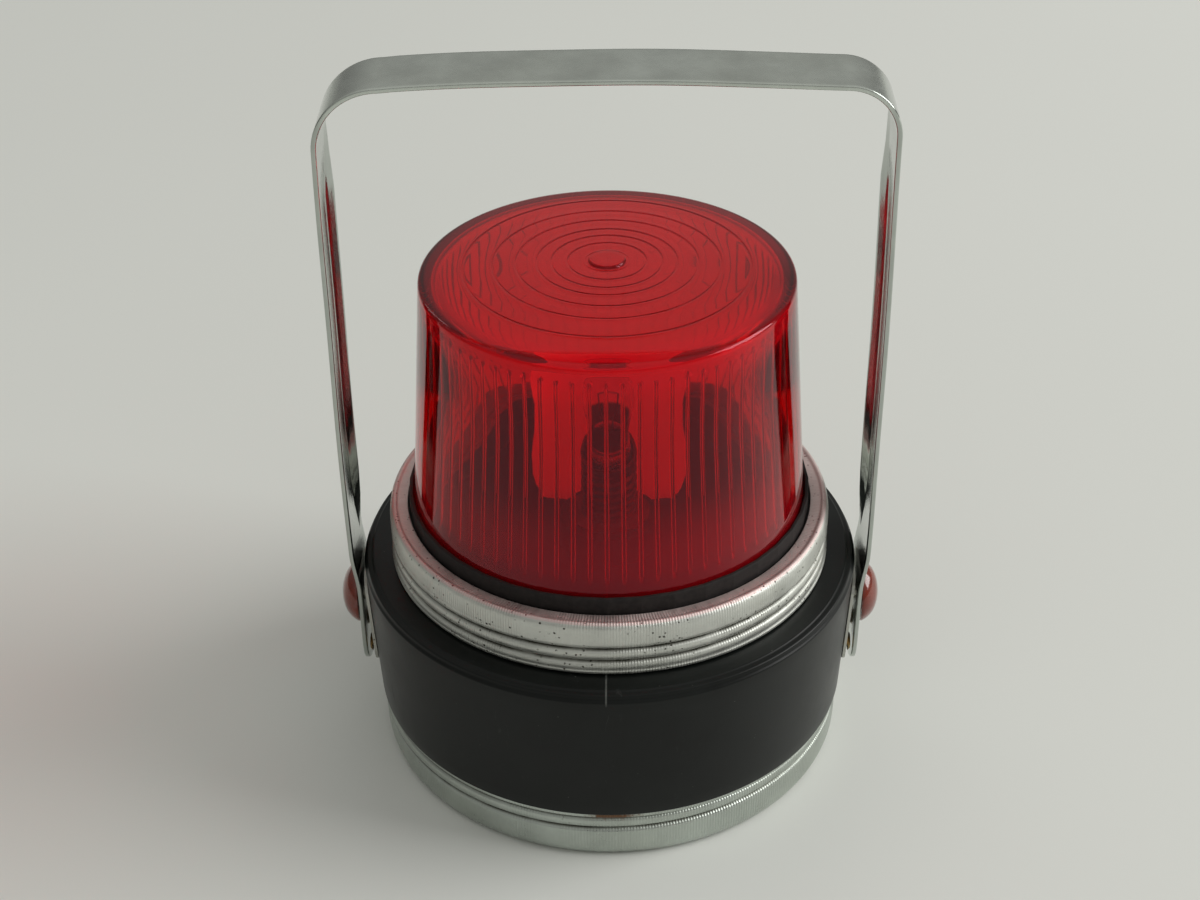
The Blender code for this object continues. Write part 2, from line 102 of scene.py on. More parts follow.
def finish_mesh(name, points, faces, groove=None):
    """An object at the origin from points in millimetres, its faces turned outwards."""
    points = np.asarray(points, float)
    volume = 0.0
    for size in (3, 4):
        group = np.array([f for f in faces if len(f) == size], int)
        if not len(group):
            continue
        for k in range(1, size - 1):
            a, b, c = points[group[:, 0]], points[group[:, k]], points[group[:, k + 1]]
            volume += np.einsum("ij,ij->i", a, np.cross(b, c)).sum()
    if volume < 0:
        faces = [tuple(reversed(face)) for face in faces]
    mesh = bpy.data.meshes.new(name)
    mesh.from_pydata((points * MM).tolist(), [], [tuple(map(int, f)) for f in faces])
    mesh.shade_smooth()
    mesh.set_sharp_from_angle(angle=SHARP_ANGLE)
    if groove is not None:
        depth = mesh.attributes.new("groove", "FLOAT", "POINT")
        depth.data.foreach_set("value", np.asarray(groove, np.float32))
    obj = bpy.data.objects.new(name, mesh)
    bpy.context.scene.collection.objects.link(obj)
    return obj


def soften(profile, steps=4):
    """Rounds the corners of a line of (radius, height, fillet, relief) and gives (radius, height, relief)."""
    rows = []
    for i, entry in enumerate(profile):
        radius, height = entry[:2]
        fillet = entry[2] if len(entry) > 2 else 0
        relief = entry[3] if len(entry) > 3 else None
        if not fillet:
            rows.append((radius, height, relief))
            continue
        here = np.array((radius, height), float)
        ends = []
        for other in (profile[i - 1], profile[(i + 1) % len(profile)]):
            run = np.array(other[:2], float) - here
            ends.append(here + run * min(fillet / max(np.linalg.norm(run), 1e-6), 0.48))
        for t in np.linspace(0, 1, steps + 1):
            bend = (1 - t) ** 2 * ends[0] + 2 * t * (1 - t) * here + t * t * ends[1]
            rows.append((float(bend[0]), float(bend[1]), relief))
    return rows


def turned(name, rows, angles, axis="Z", centre=(0.0, 0.0, 0.0), side=1):
    """A skin of revolution from (radius, height, relief) rows.

    Relief gives how far the surface stands in from the radius. Rows at radius 0 at both ends close
    the skin on the axis; otherwise the rows form a loop.
    """
    columns = len(angles)
    points, starts, groove = [], [], []
    for radius, height, relief in rows:
        starts.append(sum(map(len, points)))
        if radius == 0:
            points.append(np.array([(0.0, 0.0, height)]))
            groove.append(np.zeros(1))
            continue
        depth = relief(angles, height) if relief else np.zeros(columns)
        r = radius - depth
        points.append(np.stack([r * np.cos(angles), r * np.sin(angles), np.full(columns, height)], axis=1))
        groove.append(depth)
    pairs = list(zip(range(len(rows) - 1), range(1, len(rows))))
    if rows[0][0] != 0:
        pairs.append((len(rows) - 1, 0))
    i = np.arange(columns)
    j = (i + 1) % columns
    faces = []
    for a, b in pairs:
        if rows[a][0] == 0:
            sides = (np.full(columns, starts[a]), starts[b] + i, starts[b] + j)
        elif rows[b][0] == 0:
            sides = (starts[a] + i, np.full(columns, starts[b]), starts[a] + j)
        else:
            sides = (starts[a] + i, starts[b] + i, starts[b] + j, starts[a] + j)
        faces += np.stack(sides, axis=1).tolist()
    points = np.concatenate(points)
    if axis == "X":
        points = np.stack([side * points[:, 2], points[:, 0], points[:, 1]], axis=1)
    return finish_mesh(name, points + np.array(centre), faces, np.concatenate(groove))


def wall(low, high, radius, relief, step=0.18):
    """Rows up a threaded wall."""
    count = max(2, round(abs(high - low) / step))
    return [(radius, z, 0, relief) for z in np.linspace(low, high, count + 1)]


def run_out(z, low, high, length):
    """A thread's share of its depth: it fades out over this length inside low and high."""
    return min(1.0, max(0.0, (z - low) / length)) * min(1.0, max(0.0, (high - z) / length))


def rolled_thread(start, low, high, depth=0.84):
    """A right-handed rolled thread: narrow valleys between crowned bands, fading out at low and high."""

    def relief(angles, z):
        phase = ((z - start) / PITCH - angles / TURN) % 1.0
        off = (phase - 0.5) * PITCH
        valley = np.exp(-((off / 0.36) ** 2))
        between_crowns = 1 - np.sin(math.pi * (phase - 0.5)) ** 2
        return depth * run_out(z, low, high, 0.5) * (0.72 * valley + 0.28 * between_crowns)

    return relief


def curl(y, half):
    """How far a strip's face stands in: it leans out a little towards the rear, where its edge curls over."""
    over = max(0.0, y / half - 0.47) * half
    return 0.47 * over * float(ease(over, 0.0, 1.0)) - 0.073 * (y + half)


def strip_section(width, thick, curled, edge=0.28, edge_steps=3):
    """A strip's cross-section as (y, depth) points, with softened edges and its rear edge curled inwards."""
    half = width / 2
    quarter = np.linspace(0, math.pi / 2, edge_steps + 1)
    rear_half = np.array([0.92, 0.85, 0.78, 0.71, 0.65, 0.59, 0.54, 0.5, 0.25])
    across = np.concatenate([rear_half, [0.0], -rear_half[::-1]])
    section = []
    for side, deep, backwards in ((1, False, False), (1, True, True), (-1, True, False), (-1, False, True)):
        arc = [(half - edge + edge * math.sin(a), edge - edge * math.cos(a)) for a in quarter]
        if backwards:
            arc = arc[::-1]
        for y, depth in arc:
            section.append((side * y, thick - depth if deep else depth))
        if deep and backwards:
            section += [(y, thick) for y in across * (half - edge)]
    section += [(y, 0.0) for y in -across * (half - edge)]
    return [(y, depth + curled * curl(y, half)) for y, depth in section]


def sweep(name, path, widths, thick, curls):
    """A strip whose outer face follows an (x, z) path, its width along Y.

    Each point of the path has its width, and how far the rear edge is curled there, from 0 to 1.
    """
    path = np.array(path, float)
    steps = np.gradient(path, axis=0)
    steps /= np.linalg.norm(steps, axis=1)[:, None]
    inward = np.stack([steps[:, 1], -steps[:, 0]], axis=1)
    points = []
    for (x, z), (dx, dz), width, curled in zip(path, inward, widths, curls):
        section = strip_section(width, thick, curled)
        points += [(x + dx * depth, y, z + dz * depth) for y, depth in section]
    ring = len(section)
    last = (len(path) - 1) * ring
    i = np.arange(ring)
    j = (i + 1) % ring
    faces = []
    for a in range(0, last, ring):
        b = a + ring
        faces += np.stack([a + i, a + j, b + j, b + i], axis=1).tolist()
    for start, ahead, behind in ((0, j, i), (last, i, j)):
        centre = len(points)
        points.append(np.mean(points[start:start + ring], axis=0))
        faces += [(centre, int(start + ahead[k]), int(start + behind[k])) for k in range(ring)]
    return finish_mesh(name, points, faces)


def bored(obj, *cutters):
    """Cuts the cutters out of obj for good, and removes them."""
    for cutter in cutters:
        modifier = obj.modifiers.new("bore", "BOOLEAN")
        modifier.operation = "DIFFERENCE"
        modifier.solver = "EXACT"
        modifier.object = cutter
    bpy.context.view_layer.update()
    graph = bpy.context.evaluated_depsgraph_get()
    made = bpy.data.meshes.new_from_object(obj.evaluated_get(graph))
    obj.modifiers.clear()
    obj.data = made
    made.shade_smooth()
    made.set_sharp_from_angle(angle=SHARP_ANGLE)
    for cutter in cutters:
        bpy.data.objects.remove(cutter)
    return obj


def place(obj, body, look, slot_name, *nodes):
    """Dresses a new piece, seats it on its body and lets it stand for its CAD nodes."""
    obj.data.materials.clear()
    obj.data.materials.append(look)
    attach(obj, body)
    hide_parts(*nodes)
    return obj


def dress(node, look, bevel=0.0):
    """Gives a carried-over CAD node its finish, and softens its edges."""
    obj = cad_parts[node]
    obj.data.materials.clear()
    obj.data.materials.append(look)
    if bevel:
        modifier = obj.modifiers.new("edges", "BEVEL")
        modifier.width = bevel * MM
        modifier.segments = 2
        modifier.limit_method = "ANGLE"
        modifier.angle_limit = math.radians(40)
        modifier.harden_normals = True


# ---------------------------------------------------------------- finishes


class Look:
    """A procedural material under construction, its textures placed by the object's own coordinates."""

    def __init__(self, name, values):
        self.material = bpy.data.materials.new(name)
        self.material.use_nodes = True
        self.tree = self.material.node_tree
        self.shader = self.tree.nodes["Principled BSDF"]
        self.output = self.tree.nodes["Material Output"]
        for key, value in values.items():
            self.shader.inputs[key].default_value = value
        self.place = self.node("ShaderNodeTexCoord").outputs["Object"]

    def node(self, kind, values=None, **settings):
        made = self.tree.nodes.new(kind)
        for key, value in settings.items():
            setattr(made, key, value)
        for key, value in (values or {}).items():
            if isinstance(value, bpy.types.NodeSocket):
                self.tree.links.new(value, made.inputs[key])
            else:
                made.inputs[key].default_value = value
        return made

    def set(self, name, value):
        self.tree.links.new(value, self.shader.inputs[name])

    def maths(self, operation, a, b=None, clamp=False):
        values = {0: a} if b is None else {0: a, 1: b}
        return self.node("ShaderNodeMath", values, operation=operation, use_clamp=clamp).outputs[0]

    def times(self, *values):
        """The product of two or more values."""
        product = values[0]
        for value in values[1:]:
            product = self.maths("MULTIPLY", product, value)
        return product

    def largest(self, *values):
        """The largest of two or more values."""
        top = values[0]
        for value in values[1:]:
            top = self.maths("MAXIMUM", top, value)
        return top

    def axes(self):
        return self.node("ShaderNodeSeparateXYZ", {0: self.place}).outputs

    def stretched(self, scale):
        return self.node("ShaderNodeMapping", {"Vector": self.place, "Scale": scale}).outputs[0]

    def noise(self, scale, detail=3.0, roughness=0.55, vector=None, distortion=0.0):
        values = {"Vector": vector or self.place, "Scale": scale, "Detail": detail,
                  "Roughness": roughness, "Distortion": distortion}
        return self.node("ShaderNodeTexNoise", values).outputs["Fac"]

    def cells(self, scale):
        """How far each place is from the nearest of some scattered points."""
        return self.node("ShaderNodeTexVoronoi", {"Vector": self.place, "Scale": scale}).outputs["Distance"]

    def spread(self, value, low, high, to_low=0.0, to_high=1.0, smooth=False):
        kind = "SMOOTHSTEP" if smooth else "LINEAR"
        values = {"Value": value, "From Min": low, "From Max": high, "To Min": to_low, "To Max": to_high}
        return self.node("ShaderNodeMapRange", values, interpolation_type=kind).outputs[0]

    def spread_mm(self, length, low, high, to_low=0.0, to_high=1.0, smooth=False):
        """Spreads a length, with its limits in millimetres."""
        return self.spread(length, low * MM, high * MM, to_low, to_high, smooth)

    def blend(self, factor, a, b):
        """Mixes two colours: a where factor is 0, b where it is 1."""
        made = self.node("ShaderNodeMix", data_type="RGBA")
        for key, value in ((0, factor), (6, a), (7, b)):
            if isinstance(value, bpy.types.NodeSocket):
                self.tree.links.new(value, made.inputs[key])
            elif isinstance(value, tuple):
                made.inputs[key].default_value = (*value, 1.0)
            else:
                made.inputs[key].default_value = value
        return made.outputs[2]

    def bumps(self, *layers):
        """Stacks (height, strength, distance in millimetres) layers on the normal."""
        normal = None
        for height, strength, distance in layers:
            values = {"Height": height, "Strength": strength, "Distance": distance * MM}
            if normal is not None:
                values["Normal"] = normal
            normal = self.node("ShaderNodeBump", values).outputs[0]
        self.set("Normal", normal)

    def groove(self):
        """How deep the mesh's relief is at a place, in millimetres."""
        return self.node("ShaderNodeAttribute", attribute_name="groove").outputs["Fac"]


def scaled(values, share):
    """A colour or a place with each of its numbers multiplied by share."""
    return tuple(share * value for value in values)


def pit_mask(look, pitting):
    """Small pits in clusters, and more of them the higher pitting is."""
    where = look.spread(look.noise(85, 3, 0.6), 0.62 - pitting, 0.74 - pitting)
    pits = look.spread(look.cells(850), 0.13, 0.25, 1.0, 0.0)
    pits = look.times(pits, look.spread(look.noise(700, 2, 0.5), 0.46, 0.56))
    return look.maths("MULTIPLY", pits, where, clamp=True)


def rust_mask(look, rust_at):
    """One wide rusty spot with a ragged edge, round a place in millimetres."""
    spot = scaled(rust_at, MM)
    gap = look.node("ShaderNodeVectorMath", {0: look.place, 1: spot}, operation="SUBTRACT").outputs[0]
    gap = look.node("ShaderNodeVectorMath", {0: gap, 1: (0.22, 1.0, 1.0)}, operation="MULTIPLY").outputs[0]
    away = look.node("ShaderNodeVectorMath", {0: gap}, operation="LENGTH").outputs["Value"]
    ragged = look.spread(look.noise(900, 3, 0.6), 0.3, 0.7, -0.5 * MM, 0.5 * MM)
    return look.spread_mm(look.maths("ADD", away, ragged), 0.5, 1.3, 0.95, 0.0)


def lathe_marks(look):
    """Fine turning marks round the axis, and the patchy ticks of a knurling wheel: (marks, ticks)."""
    x, y, z = look.axes()
    angle = look.maths("ARCTAN2", y, x)
    round_axis = look.node("ShaderNodeCombineXYZ", {0: look.times(angle, 0.02), 1: 0.0, 2: z}).outputs[0]
    marks = look.noise(1700, 3, 0.6, round_axis)
    ticks = look.maths("SINE", look.times(angle, 500.0))
    return marks, look.times(ticks, look.spread(look.noise(60, 2, 0.5), 0.36, 0.58))


def zinc_look(name, tone, rough, pitting, turned_part=False, flat_with_painted_red_above=None, rust_at=None,
              shaded_legs=False):
    """Dull zinc plate on sheet steel: cloudy, finely pitted, and darker in the grooves of a turned part.

    Legs can be painted darker, as shade, and made smoother, and a flat above a height is rougher and takes a
    painted red reflection of the lens.
    """
    look = Look(name, {"Metallic": 1.0, "Specular IOR Level": 0.5})
    clouds = look.noise(110, 4, 0.6)
    grain = look.noise(2600, 2, 0.5)
    drift = look.noise(38, 2, 0.5)
    colour = look.blend(look.spread(clouds, 0.3, 0.7), scaled(tone, 0.86), scaled(tone, 1.08))
    stained = (tone[0] * 0.72, tone[1] * 0.70, tone[2] * 0.62)
    colour = look.blend(look.spread(drift, 0.35, 0.75, 0.0, 0.22), colour, stained)
    scuff = look.noise(520, 5, 0.7, look.stretched((1.0, 1.0, 0.35)), 0.4)
    colour = look.blend(look.spread(scuff, 0.58, 0.72, 0.0, 0.35), colour, scaled(tone, 1.2))
    roughness = look.spread(clouds, 0.25, 0.75, rough - 0.06, rough + 0.08)
    roughness = look.maths("ADD", roughness, look.spread(grain, 0.3, 0.7, -0.03, 0.04))
    layers = [(grain, 0.22, 0.05), (clouds, 0.1, 0.25)]
    if pitting:
        pits = pit_mask(look, pitting)
        colour = look.blend(pits, colour, (0.055, 0.048, 0.035))
        roughness = look.maths("ADD", roughness, look.times(pits, 0.3))
        layers.append((look.maths("SUBTRACT", 1.0, pits), 0.6, 0.12))
    if turned_part:
        marks, ticks = lathe_marks(look)
        layers += [(marks, 0.18, 0.05), (ticks, 0.6, 0.06)]
        roughness = look.maths("ADD", roughness, look.spread(marks, 0.3, 0.7, -0.04, 0.05))
        # darker and rougher where the relief is deep, in the grooves
        dark_rough_grooves = look.spread(look.groove(), 0.2, 0.75)
        dark_rough_grooves = look.times(dark_rough_grooves, look.spread(look.noise(170, 3, 0.6), 0.25, 0.55, 0.55, 1.0))
        colour = look.blend(dark_rough_grooves, colour, (0.075, 0.072, 0.055))
        roughness = look.maths("ADD", roughness, look.times(dark_rough_grooves, 0.3), clamp=True)
    if rust_at:
        rust = rust_mask(look, rust_at)
        colour = look.blend(rust, colour, (0.16, 0.065, 0.018))
        roughness = look.maths("ADD", roughness, look.times(rust, 0.4), clamp=True)
        look.set("Metallic", look.maths("SUBTRACT", 1.0, rust))
    # painted reflection: the flat above this height is tinted with the lens's red, and made rougher
    if flat_with_painted_red_above:
        flat = look.spread_mm(look.axes()[2], flat_with_painted_red_above, flat_with_painted_red_above + 0.1)
        roughness = look.times(roughness, look.spread(flat, 0.0, 1.0, 1.0, 1.25))
        colour = look.blend(look.times(flat, 0.26), colour, (0.90, 0.42, 0.46))
    # painted shade: the legs are darker than the crossbar, and smoother
    if shaded_legs:
        x = look.axes()[0]
        on_leg = look.spread_mm(look.maths("ABSOLUTE", x), 50.0, 52.0)
        roughness = look.times(roughness, look.spread(on_leg, 0.0, 1.0, 1.0, 0.35))
        colour = look.blend(look.times(on_leg, 0.28), colour, (0.17, 0.175, 0.17))
    look.set("Base Color", colour)
    look.set("Roughness", roughness)
    look.bumps(*layers)
    return look.material


def black_look(name):
    """Black satin moulding: fine scuffs, a little dust, a pale mould seam on the front of the shoulder."""
    look = Look(name, {"Specular IOR Level": 0.22})
    x, y, z = look.axes()
    cloud = look.noise(70, 4, 0.6)
    colour = look.blend(look.spread(cloud, 0.3, 0.7), (0.0028, 0.0036, 0.0032), (0.0060, 0.0075, 0.0068))
    dust = look.spread(look.cells(420), 0.045, 0.075, 1.0, 0.0)
    dust = look.times(dust, look.spread(look.noise(90, 3, 0.6), 0.5, 0.66))
    colour = look.blend(look.times(dust, 0.5), colour, (0.16, 0.165, 0.15))
    wisp = look.noise(260, 6, 0.75, look.stretched((1.0, 1.0, 0.16)), 1.2)
    scuff = look.spread(wisp, 0.64, 0.72)
    colour = look.blend(look.times(scuff, 0.30), colour, (0.07, 0.072, 0.068))
    from_seam = look.maths("ABSOLUTE", look.maths("ADD", x, 0.3 * MM))
    on_seam = look.spread_mm(from_seam, 0.06, 0.24, 1.0, 0.0)
    in_front = look.maths("LESS_THAN", y, 0.0)
    on_shoulder = look.spread_mm(z, 42.4, 43.6)
    broken = look.spread(look.noise(600, 2, 0.5), 0.3, 0.5, 0.35, 0.9)
    colour = look.blend(look.times(on_seam, in_front, on_shoulder, broken), colour, (0.11, 0.114, 0.106))
    look.set("Base Color", colour)
    roughness = look.spread(cloud, 0.25, 0.75, 0.30, 0.40)
    roughness = look.maths("ADD", roughness, look.times(scuff, 0.16))
    roughness = look.maths("ADD", roughness, look.times(dust, 0.4), clamp=True)
    look.set("Roughness", roughness)
    look.bumps((look.noise(1900, 2, 0.5), 0.10, 0.04), (wisp, 0.06, 0.08))
    return look.material


def through_lamps(look, tint):
    """Lets lamplight through clear plastic or glass, tinted, as well as bending what is seen through it."""
    shadow = look.node("ShaderNodeLightPath").outputs["Is Shadow Ray"]
    clear = look.node("ShaderNodeBsdfTransparent", {"Color": (*tint, 1.0)})
    mixed = look.node("ShaderNodeMixShader", {0: shadow, 1: look.shader.outputs[0], 2: clear.outputs[0]})
    look.tree.links.new(mixed.outputs[0], look.output.inputs["Surface"])


def lens_look(name):
    """Clear red plastic dyed through, cloudier at the crown's edge, by the foot and on the ribs' flanks."""
    look = Look(name, {"IOR": 1.49, "Specular IOR Level": 0.24, "Specular Tint": (1.0, 0.45, 0.55, 1.0)})
    x, y, z = look.axes()
    haze = look.noise(60, 4, 0.6)
    wear = look.noise(900, 5, 0.75, look.stretched((1.0, 1.0, 0.12)), 0.8)
    wear = look.spread(wear, 0.66, 0.76)
    radius = look.maths("SQRT", look.maths("ADD", look.times(x, x), look.times(y, y)))
    near_rim = look.times(look.spread_mm(z, 106.5, 108.2), look.spread_mm(radius, 30.5, 33.0),
                          look.spread_mm(radius, 35.4, 36.1, 1.0, 0.0))
    under_rim = look.times(look.spread_mm(z, 102.0, 106.0, smooth=True),
                           look.spread_mm(z, 108.9, 109.2, 1.0, 0.0))
    by_foot = look.spread_mm(z, 68.0, 82.0, 1.0, 0.0, smooth=True)
    raised = look.groove()
    flank = look.times(look.spread(raised, 0.01, 0.05), look.spread(raised, 0.18, 0.26, 1.0, 0.0))
    cloudy = look.largest(look.times(near_rim, 0.15), look.times(under_rim, 0.14), look.times(flank, 0.28),
                          look.times(by_foot, 0.09))
    look.set("Transmission Weight", look.maths("SUBTRACT", 0.975, cloudy, clamp=True))
    look.set("Base Color", look.blend(look.spread(haze, 0.3, 0.7), (1.0, 0.014, 0.034), (0.94, 0.011, 0.028)))
    roughness = look.spread(haze, 0.3, 0.7, 0.015, 0.05)
    look.set("Roughness", look.maths("ADD", roughness, look.times(wear, 0.12)))
    look.bumps((haze, 0.05, 0.2), (look.noise(320, 2, 0.5), 0.02, 0.05))
    dye = look.node("ShaderNodeVolumeAbsorption", {"Color": (0.91, 0.05, 0.12, 1.0), "Density": 500.0})
    look.tree.links.new(dye.outputs[0], look.output.inputs["Volume"])
    through_lamps(look, (0.93, 0.24, 0.30))
    return look.material


def metal_look(name, tone, rough, tarnish):
    """Plated or bare sheet metal with faint clouds and grain."""
    look = Look(name, {"Metallic": 1.0})
    cloud = look.noise(140, 4, 0.6)
    grain = look.noise(2400, 2, 0.5)
    look.set("Base Color", look.blend(look.spread(cloud, 0.35, 0.7), tone, tarnish))
    roughness = look.spread(cloud, 0.3, 0.7, rough - 0.05, rough + 0.10)
    look.set("Roughness", look.maths("ADD", roughness, look.spread(grain, 0.3, 0.7, -0.03, 0.03)))
    look.bumps((grain, 0.15, 0.04), (cloud, 0.08, 0.15))
    return look.material


def dull_look(name, light, dark, rough, scale, depth):
    """Card, fibre board, rubber or foam: a mottled dull surface."""
    look = Look(name, {"Specular IOR Level": 0.3})
    weave = look.noise(scale, 5, 0.65)
    look.set("Base Color", look.blend(look.spread(weave, 0.35, 0.65), dark, light))
    look.set("Roughness", look.spread(weave, 0.3, 0.7, rough - 0.06, rough + 0.06))
    look.bumps((weave, 0.35, depth))
    return look.material


def enamel_look(name):
    """White enamel with a painted glow: it gives off a little light of its own, though it is no lamp."""
    # painted glow: the sheet emits a little light of its own to brighten it
    painted_glow = {"Emission Color": (1.0, 0.9, 0.86, 1.0), "Emission Strength": 0.22}
    look = Look(name, {"Specular IOR Level": 0.4, **painted_glow})
    cloud = look.noise(240, 4, 0.6)
    look.set("Base Color", look.blend(look.spread(cloud, 0.3, 0.7), (0.87, 0.87, 0.84), (0.93, 0.93, 0.91)))
    look.set("Roughness", look.spread(cloud, 0.3, 0.7, 0.30, 0.42))
    look.bumps((cloud, 0.2, 0.05))
    return look.material


def battery_look(name):
    """A printed card jacket in two plain bands, rubbed at the edges, with no lettering."""
    look = Look(name, {"Specular IOR Level": 0.4})
    x = look.axes()[0]
    band = look.spread_mm(x, 10.8, 11.2)
    colour = look.blend(band, (0.045, 0.085, 0.21), (0.52, 0.43, 0.27))
    line = look.times(look.spread_mm(x, 7.8, 8.0), look.spread_mm(x, 9.0, 9.2, 1.0, 0.0))
    colour = look.blend(line, colour, (0.50, 0.47, 0.40))
    fibre = look.noise(500, 6, 0.7)
    rub = look.spread(look.noise(120, 5, 0.7), 0.56, 0.70, 0.0, 0.5)
    colour = look.blend(rub, colour, (0.30, 0.26, 0.20))
    colour = look.blend(look.spread(fibre, 0.3, 0.7, 0.0, 0.2), colour, (0.02, 0.02, 0.03))
    look.set("Base Color", colour)
    look.set("Roughness", look.spread(fibre, 0.3, 0.7, 0.5, 0.7))
    look.bumps((fibre, 0.2, 0.08))
    return look.material


def orange_look(name):
    """Translucent orange-red plastic with a polished face."""
    look = Look(name, {"Transmission Weight": 0.45, "IOR": 1.49, "Coat Weight": 0.6, "Coat Roughness": 0.08})
    swirl = look.noise(260, 3, 0.5)
    deep, bright = (0.21, 0.016, 0.003), (0.33, 0.034, 0.006)
    look.set("Base Color", look.blend(look.spread(swirl, 0.3, 0.7), deep, bright))
    look.set("Roughness", look.spread(swirl, 0.3, 0.7, 0.12, 0.22))
    look.bumps((swirl, 0.06, 0.2))
    return look.material


def glass_look(name):
    """Clear bulb glass, very slightly grey from use near its top and browned at its foot."""
    look = Look(name, {"Transmission Weight": 1.0, "IOR": 1.18})
    z = look.axes()[2]
    patchy = look.spread(look.noise(300, 3, 0.5), 0.3, 0.7, 0.3, 1.0)
    soot = look.times(look.spread_mm(z, 78.0, 87.0), patchy)
    clear = look.blend(soot, (0.97, 0.98, 0.975), (0.80, 0.80, 0.79))
    at_foot = look.spread_mm(z, 72.8, 73.6, 1.0, 0.0)
    look.set("Base Color", look.blend(at_foot, clear, (0.06, 0.05, 0.04)))
    look.set("Roughness", look.spread(look.noise(200, 2, 0.5), 0.3, 0.7, 0.0, 0.03))
    through_lamps(look, (0.98, 0.98, 0.98))
    return look.material


def table_look(name):
    """A pale painted table top."""
    look = Look(name, {"Specular IOR Level": 0.35})
    drift = look.noise(2.2, 3, 0.5)
    dim, bright = (0.755, 0.765, 0.73), (0.78, 0.79, 0.755)
    look.set("Base Color", look.blend(look.spread(drift, 0.3, 0.7), dim, bright))
    fine = look.noise(900, 3, 0.6)
    look.set("Roughness", look.spread(fine, 0.3, 0.7, 0.52, 0.60))
    look.bumps((fine, 0.03, 0.05))
    return look.material


LOOKS = {
    "black_plastic": black_look("black_plastic"),
    "ring_zinc": zinc_look("ring_zinc", (0.65, 0.66, 0.62), 0.47, 0.26, turned_part=True, flat_with_painted_red_above=56.95),
    "cap_zinc": zinc_look("cap_zinc", (0.50, 0.54, 0.50), 0.32, 0.02, turned_part=True,
                          rust_at=(0.5, -50.4, 11.6)),
    "strip_zinc": zinc_look("strip_zinc", (0.60, 0.64, 0.60), 0.26, 0.0, shaded_legs=True),
    "bracket_zinc": zinc_look("bracket_zinc", (0.50, 0.50, 0.46), 0.40, 0.06),
    "red_lens": lens_look("red_lens"),
    "orange_plastic": orange_look("orange_plastic"),
    "white_enamel": enamel_look("white_enamel"),
    "brass": metal_look("brass", (0.50, 0.33, 0.12), 0.36, (0.22, 0.13, 0.055)),
    # painted shade: the same brass painted much darker for the socket down inside the lens
    "shade_darkened_brass": metal_look("shade_darkened_brass", (0.15, 0.10, 0.045), 0.45, (0.07, 0.045, 0.025)),
    "nickel": metal_look("nickel", (0.62, 0.60, 0.55), 0.26, (0.42, 0.40, 0.35)),
    "tungsten": metal_look("tungsten", (0.30, 0.29, 0.28), 0.40, (0.14, 0.13, 0.12)),
    "glass": glass_look("glass"),
    "fibre": dull_look("fibre", (0.26, 0.12, 0.06), (0.15, 0.07, 0.035), 0.75, 700, 0.1),
    "rubber": dull_look("rubber", (0.022, 0.018, 0.017), (0.010, 0.008, 0.008), 0.75, 900, 0.05),
    "foam": dull_look("foam", (0.14, 0.14, 0.15), (0.06, 0.06, 0.065), 0.92, 1500, 0.2),
    "battery_card": battery_look("battery_card"),
}


# ---------------------------------------------------------------- the lens and its ring


def taper(height, foot_r, top_r, foot_z, top_z):
    """Radius at a height of a wall that narrows evenly from its foot to its top."""
    return foot_r + (top_r - foot_r) * (height - foot_z) / (top_z - foot_z)


def crown(radius):
    """Height of the lens's smooth outer crown, before its rings."""
    return CROWN_Z - 2.16 * (radius / 36.0) ** 4.2


def crown_relief(radius):
    """Each ring on the crown is a fine groove with a low bead just outside it."""
    height = 0.0
    for ring in CROWN_RINGS:
        height -= 0.115 * math.exp(-(((radius - ring) / (0.62 * RING_GROOVE)) ** 2))
        height += 0.05 * math.exp(-(((radius - ring - 1.9 * RING_GROOVE) / (0.7 * RING_GROOVE)) ** 2))
    return height


def lens_outside():
    """Rows from the nub in the middle of the crown, over its rings and down the smooth wall to the flange."""
    nub = [(0, 0.60), (2.0, 0.60), (3.2, 0.58), (3.45, 0.52), (3.58, 0.36), (3.7, 0.12), (3.95, 0.02)]
    bead = [(4.25, 0), (4.4, 0.06), (4.6, 0)]
    rows = [(radius, CROWN_Z + rise) for radius, rise in nub + bead]
    between = [5.0, 6.5, 9.2, 12.3, 15.8, 20.0, 25.2, 27.3, 29.6, 31, 32.5, 33.7, 34.7, 35.5, 36.1]
    over_ring = (-1.3, -0.9, -0.6, -0.3, 0.0, 0.3, 0.6, 0.9, 1.3, 1.8, 2.4, 3.0)
    on_rings = [ring + share * RING_GROOVE for ring in CROWN_RINGS for share in over_ring]
    rows += [(radius, crown(radius) + crown_relief(radius)) for radius in sorted(between + on_rings)]
    rows += [(36.5, 108.98), (36.8, 108.78), (37.0, 108.45), (37.08, 108.05)]
    for height in np.linspace(104, 58.2, 8):
        rows.append((taper(height, LENS_FOOT_R, LENS_TOP_R, 57.5, 108.0), height))
    rows += [(LENS_FOOT_R, 57.4), (LENS_FOOT_R + 0.05, LENS_FLANGE_Z, 0.3)]
    rows += [(LENS_FLANGE_R, LENS_FLANGE_Z, 0.2), (LENS_FLANGE_R, LENS_FOOT_Z, 0.2)]
    return rows + [(LENS_FOOT_BORE_R, LENS_FOOT_Z, 0.2)]


def lens_inside(rib):
    """Rows up the ribbed bore, which flares towards the crown, and in over the crown's smooth underside."""
    rows = []
    for height in [57.0, 58.5, 59.6, 60.2, 60.8, 61.5, 62.2, 63.0, 64.0, 66.0, 70.0, 76.0, 82.0, 88.0, 94.0,
                   99.0, 102.0, 103.5, 104.0, 104.5, 105.0]:
        bore = taper(max(height, 58.5), LENS_FOOT_BORE_R, LENS_TOP_BORE_R, 58.5, 105.6)
        flare = 1.75 * float(ease(height, 88.0, 105.0))
        rows.append((bore + flare, height, 0, rib))
    rows += [(34.2, 105.9), (34.1, 106.5), (33.8, 107.0), (33.2, 107.35), (32.2, 107.6), (30.3, 107.85)]
    return rows + [(26.0, 108.2), (20.0, 108.5), (12.0, 108.7), (5.0, UNDER_CROWN_Z), (0, UNDER_CROWN_Z)]


